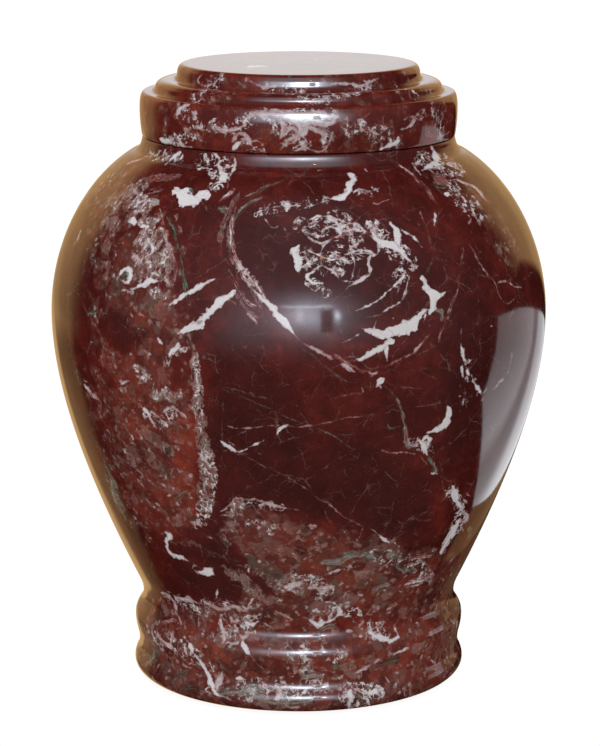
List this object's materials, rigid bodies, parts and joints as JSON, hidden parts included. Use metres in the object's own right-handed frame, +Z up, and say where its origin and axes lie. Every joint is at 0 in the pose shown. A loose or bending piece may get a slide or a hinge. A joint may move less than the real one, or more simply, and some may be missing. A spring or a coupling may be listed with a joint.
{
  "type": "cremation urn",
  "caption": "Turned marble urn with a hollow egg-shaped body, a moulded foot and a stepped lid that lifts off.",
  "frame": {"origin": "centre of the flat underside, on the surface that the urn stands on", "axes": "+Z up along the turning axis; -Y is the side that the picture shows"},
  "size_m": [0.2028, 0.2028, 0.254],
  "materials": {
    "vessel_marble": "polished dark red marble with white and grey veins",
    "lid_marble": "polished brick red marble with pink and white patches"
  },
  "bodies": {
    "root": {"urn_vessel": "vessel_marble", "urn_lid": "lid_marble"}
  },
  "joints": []
}
